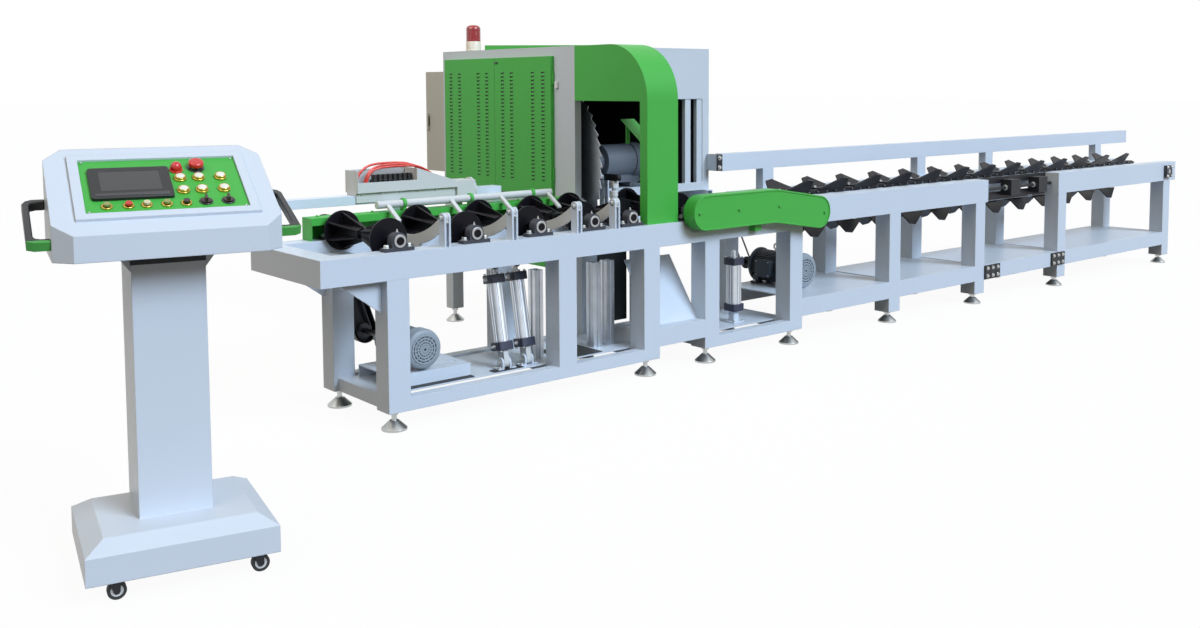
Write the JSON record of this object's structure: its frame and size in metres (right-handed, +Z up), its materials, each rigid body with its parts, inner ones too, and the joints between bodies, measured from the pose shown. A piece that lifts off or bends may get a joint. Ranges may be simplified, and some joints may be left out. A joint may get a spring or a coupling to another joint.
{
  "type": "log bucking saw",
  "caption": "Log cross-cutting line: V-roller infeed table, sliding circular saw in a cabinet with an arched hood, winged-chain outfeed conveyor with a fence, and a wheeled control console.",
  "frame": {"origin": "on the floor, under the centre of the levelling foot of the front-left table leg", "axes": "+X along the line with the logs, from the infeed table to the outfeed conveyor; +Y from the front rail to the back; +Z up"},
  "size_m": [9.5374, 3.4698, 1.912],
  "materials": {
    "frame_paint": "semi-gloss",
    "cabinet_paint": "satin",
    "carriage_paint": "satin",
    "foot_steel": "plated",
    "bearing_iron": "satin",
    "roller_paint": "semi-gloss",
    "guard_green": "semi-gloss",
    "guard_black": "satin",
    "motor_grey": "painted",
    "motor_blue": "painted",
    "bright_steel": "ground",
    "blade_steel": "ground",
    "chain_steel": "oiled",
    "cylinder_alloy": "polished",
    "hose_red": "satin",
    "electric_beige": "textured",
    "beacon_red": "gloss",
    "flight_paint": "semi-gloss",
    "console_paint": "satin",
    "panel_green": "satin",
    "handle_black": "satin",
    "caster_zinc": "plated",
    "caster_tyre": "matte",
    "stop_red": "gloss",
    "button_green": "gloss"
  },
  "bodies": {
    "frame_body": {"main_frame": "frame_paint", "conveyor_frame": "frame_paint", "levelling_feet": "foot_steel", "roller_bearings": "bearing_iron", "roller_chain_guard": "guard_green", "drive_chain_guard": "guard_green", "drive_chains": "chain_steel", "infeed_motor": "motor_grey", "infeed_drive_guard": "guard_black", "outfeed_motor": "motor_blue", "saw_cabinet": "cabinet_paint", "arch_hood": "guard_green", "electrical_cabinet": "electric_beige", "beacon": "beacon_red", "chain_tensioner": "guard_black", "fence_rail": "frame_paint", "air_cylinders": "cylinder_alloy"},
    "roller_1_body": {"roller_1": "roller_paint"},
    "roller_2_body": {"roller_2": "roller_paint"},
    "roller_3_body": {"roller_3": "roller_paint"},
    "roller_4_body": {"roller_4": "roller_paint"},
    "roller_5_body": {"roller_5": "roller_paint"},
    "infeed_sprocket_body": {"infeed_sprocket": "bright_steel"},
    "upper_strand": {"upper_flights": "flight_paint"},
    "lower_strand": {"lower_flights": "flight_paint"},
    "head_shaft_body": {"head_shaft": "bright_steel"},
    "tail_shaft_body": {"tail_shaft": "bright_steel"},
    "outfeed_sprocket_body": {"outfeed_sprocket": "bright_steel"},
    "roller_6_body": {"roller_6": "roller_paint"},
    "kicker_arms_body": {"kicker_arms": "frame_paint"},
    "kicker_barrels": {"kicker_cylinders": "cylinder_alloy"},
    "kicker_rods_body": {"kicker_rods": "bright_steel"},
    "ejector_body": {"ejector_shaft": "frame_paint"},
    "pusher_body": {"pusher_carriage": "carriage_paint", "air_hoses": "hose_red"},
    "clamp_body": {"clamp_arm": "guard_black"},
    "saw_carriage_body": {"saw_carriage": "carriage_paint"},
    "saw_rotor": {"saw_spindle": "bright_steel", "saw_blade": "blade_steel"},
    "door_front_body": {"cabinet_door_front": "guard_green"},
    "door_rear_body": {"cabinet_door_rear": "guard_green"},
    "electrical_door_body": {"electrical_door": "electric_beige"},
    "console_body": {"console_stand": "console_paint", "console_head": "console_paint", "control_panel": "panel_green", "side_handles": "handle_black"},
    "caster_left_body": {"caster_fork_left": "caster_zinc"},
    "caster_right_body": {"caster_fork_right": "caster_zinc"},
    "caster_wheel_1_body": {"caster_wheel_1": "caster_tyre"},
    "caster_wheel_2_body": {"caster_wheel_2": "caster_tyre"},
    "caster_wheel_3_body": {"caster_wheel_3": "caster_tyre"},
    "caster_wheel_4_body": {"caster_wheel_4": "caster_tyre"},
    "push_button_1_body": {"push_button_1": "button_green"},
    "push_button_2_body": {"push_button_2": "stop_red"},
    "push_button_3_body": {"push_button_3": "button_green"},
    "push_button_4_body": {"push_button_4": "button_green"},
    "push_button_5_body": {"push_button_5": "handle_black"},
    "emergency_stop_body": {"emergency_stop": "stop_red"},
    "selector_1_body": {"selector_1": "handle_black"},
    "selector_2_body": {"selector_2": "handle_black"}
  },
  "joints": [
    {"name": "roller_1_spin", "type": "hinge", "parent": "frame_body", "child": "roller_1_body", "pos_m": [0.031, 0.295, 0.846], "axis": [0, 1, 0], "continuous": true},
    {"name": "roller_2_spin", "type": "hinge", "parent": "frame_body", "child": "roller_2_body", "pos_m": [0.44, 0.295, 0.846], "axis": [0, 1, 0], "continuous": true},
    {"name": "roller_3_spin", "type": "hinge", "parent": "frame_body", "child": "roller_3_body", "pos_m": [0.812, 0.295, 0.846], "axis": [0, 1, 0], "continuous": true},
    {"name": "roller_4_spin", "type": "hinge", "parent": "frame_body", "child": "roller_4_body", "pos_m": [1.15, 0.295, 0.846], "axis": [0, 1, 0], "continuous": true},
    {"name": "roller_5_spin", "type": "hinge", "parent": "frame_body", "child": "roller_5_body", "pos_m": [1.41, 0.295, 0.846], "axis": [0, 1, 0], "continuous": true},
    {"name": "infeed_sprocket_spin", "type": "hinge", "parent": "frame_body", "child": "infeed_sprocket_body", "pos_m": [0.222, 0.5, 0.311], "axis": [0, 1, 0], "continuous": true},
    {"name": "upper_strand_run", "type": "slide", "parent": "frame_body", "child": "upper_strand", "axis": [1, 0, 0], "range_m": [-0.163, 0.163]},
    {"name": "lower_strand_run", "type": "slide", "parent": "frame_body", "child": "lower_strand", "axis": [1, 0, 0], "range_m": [-0.165, 0.165]},
    {"name": "head_shaft_spin", "type": "hinge", "parent": "frame_body", "child": "head_shaft_body", "pos_m": [2.775, 0.2575, 0.785], "axis": [0, 1, 0], "range_deg": [-151, 151]},
    {"name": "tail_shaft_spin", "type": "hinge", "parent": "frame_body", "child": "tail_shaft_body", "pos_m": [7.45, 0.2575, 0.785], "axis": [0, 1, 0], "range_deg": [-151, 151]},
    {"name": "outfeed_sprocket_spin", "type": "hinge", "parent": "frame_body", "child": "outfeed_sprocket_body", "pos_m": [2.99, 0.6, 0.38], "axis": [0, 1, 0], "range_deg": [-151, 151]},
    {"name": "roller_6_spin", "type": "hinge", "parent": "frame_body", "child": "roller_6_body", "pos_m": [1.835, 0.295, 0.846], "axis": [0, 1, 0], "range_deg": [-151, 151]},
    {"name": "kicker_lift", "type": "hinge", "parent": "frame_body", "child": "kicker_arms_body", "pos_m": [0.635, -0.0315, 0.9325], "axis": [1, 0, 0], "range_deg": [0, 14]},
    {"name": "kicker_barrel_swing", "type": "hinge", "parent": "frame_body", "child": "kicker_barrels", "pos_m": [0.7, 0.11, 0.177], "axis": [1, 0, 0], "range_deg": [-5, 0]},
    {"name": "kicker_rod_stroke", "type": "slide", "parent": "kicker_barrels", "child": "kicker_rods_body", "axis": [0, 0.1953, 0.9807], "range_m": [0, 0.08]},
    {"name": "ejector_lift", "type": "hinge", "parent": "frame_body", "child": "ejector_body", "pos_m": [0.8, 0.572, 0.945], "axis": [-1, 0, 0], "range_deg": [0, 70]},
    {"name": "pusher_run", "type": "slide", "parent": "frame_body", "child": "pusher_body", "axis": [1, 0, 0], "range_m": [-0.3, 0.17]},
    {"name": "clamp_lift", "type": "hinge", "parent": "frame_body", "child": "clamp_body", "pos_m": [1.703, 0.553, 1.01], "axis": [-1, 0, 0], "range_deg": [0, 60]},
    {"name": "saw_feed", "type": "slide", "parent": "frame_body", "child": "saw_carriage_body", "axis": [0, -1, 0], "range_m": [0, 0.34]},
    {"name": "blade_spin", "type": "hinge", "parent": "saw_carriage_body", "child": "saw_rotor", "pos_m": [1.595, 1.019, 1.06], "axis": [1, 0, 0], "continuous": true},
    {"name": "door_front_swing", "type": "hinge", "parent": "frame_body", "child": "door_front_body", "pos_m": [1.4967, 0.757, 1.297], "axis": [0, 0, 1], "range_deg": [0, 72]},
    {"name": "door_rear_swing", "type": "hinge", "parent": "frame_body", "child": "door_rear_body", "pos_m": [1.4967, 1.868, 1.297], "axis": [0, 0, -1], "range_deg": [0, 90]},
    {"name": "electrical_door_swing", "type": "hinge", "parent": "frame_body", "child": "electrical_door_body", "pos_m": [1.6247, 1.929, 1.2945], "axis": [0, 0, 1], "range_deg": [0, 88]},
    {"name": "console_roll", "type": "slide", "parent": "frame_body", "child": "console_body", "axis": [0.2028, 0.9792, 0], "range_m": [-0.3, 0.3]},
    {"name": "caster_left_swivel", "type": "hinge", "parent": "console_body", "child": "caster_left_body", "pos_m": [-1.52912, -0.97047, 0.072], "axis": [0, 0, 1], "continuous": true},
    {"name": "caster_right_swivel", "type": "hinge", "parent": "console_body", "child": "caster_right_body", "pos_m": [-1.11589, -1.05605, 0.072], "axis": [0, 0, 1], "continuous": true},
    {"name": "caster_wheel_1_spin", "type": "hinge", "parent": "caster_left_body", "child": "caster_wheel_1_body", "pos_m": [-1.50953, -0.97453, 0.028], "axis": [-0.2028, -0.9792, 0], "continuous": true},
    {"name": "caster_wheel_2_spin", "type": "hinge", "parent": "caster_right_body", "child": "caster_wheel_2_body", "pos_m": [-1.0963, -1.0601, 0.028], "axis": [-0.2028, -0.9792, 0], "continuous": true},
    {"name": "caster_wheel_3_spin", "type": "hinge", "parent": "console_body", "child": "caster_wheel_3_body", "pos_m": [-1.45206, -0.59837, 0.028], "axis": [0.9792, -0.2028, 0], "continuous": true},
    {"name": "caster_wheel_4_spin", "type": "hinge", "parent": "console_body", "child": "caster_wheel_4_body", "pos_m": [-1.03883, -0.68394, 0.028], "axis": [0.9792, -0.2028, 0], "continuous": true},
    {"name": "push_button_1_press", "type": "slide", "parent": "console_body", "child": "push_button_1_body", "axis": [0.0962, 0.4644, -0.8804], "range_m": [0, 0.005], "stiffness_N_per_m": 600},
    {"name": "push_button_2_press", "type": "slide", "parent": "console_body", "child": "push_button_2_body", "axis": [0.0962, 0.4644, -0.8804], "range_m": [0, 0.005], "stiffness_N_per_m": 600},
    {"name": "push_button_3_press", "type": "slide", "parent": "console_body", "child": "push_button_3_body", "axis": [0.0962, 0.4644, -0.8804], "range_m": [0, 0.005], "stiffness_N_per_m": 600},
    {"name": "push_button_4_press", "type": "slide", "parent": "console_body", "child": "push_button_4_body", "axis": [0.0962, 0.4644, -0.8804], "range_m": [0, 0.005], "stiffness_N_per_m": 600},
    {"name": "push_button_5_press", "type": "slide", "parent": "console_body", "child": "push_button_5_body", "axis": [0.0962, 0.4644, -0.8804], "range_m": [0, 0.005], "stiffness_N_per_m": 600},
    {"name": "emergency_stop_press", "type": "slide", "parent": "console_body", "child": "emergency_stop_body", "axis": [0.0962, 0.4644, -0.8804], "range_m": [0, 0.008], "stiffness_N_per_m": 900},
    {"name": "selector_1_turn", "type": "hinge", "parent": "console_body", "child": "selector_1_body", "pos_m": [-1.19106, -0.94567, 1.16805], "axis": [-0.0962, -0.4644, 0.8804], "range_deg": [-45, 45]},
    {"name": "selector_2_turn", "type": "hinge", "parent": "console_body", "child": "selector_2_body", "pos_m": [-1.12546, -0.95926, 1.16805], "axis": [-0.0962, -0.4644, 0.8804], "range_deg": [-45, 45]}
  ],
  "couplings": [
    {"joint": "roller_2_spin", "follows": "roller_1_spin", "ratio": 1},
    {"joint": "roller_3_spin", "follows": "roller_1_spin", "ratio": 1},
    {"joint": "roller_4_spin", "follows": "roller_1_spin", "ratio": 1},
    {"joint": "roller_5_spin", "follows": "roller_1_spin", "ratio": 1},
    {"joint": "infeed_sprocket_spin", "follows": "roller_1_spin", "ratio": 1},
    {"joint": "lower_strand_run", "follows": "upper_strand_run", "ratio": -1},
    {"joint": "head_shaft_spin", "follows": "upper_strand_run", "rad_per_m": 16.051},
    {"joint": "tail_shaft_spin", "follows": "upper_strand_run", "rad_per_m": 16.051},
    {"joint": "outfeed_sprocket_spin", "follows": "upper_strand_run", "rad_per_m": 16.051},
    {"joint": "roller_6_spin", "follows": "upper_strand_run", "rad_per_m": 16.051},
    {"joint": "kicker_barrel_swing", "follows": "kicker_lift", "ratio": -0.347},
    {"joint": "kicker_rod_stroke", "follows": "kicker_lift", "m_per_rad": 0.31782}
  ]
}
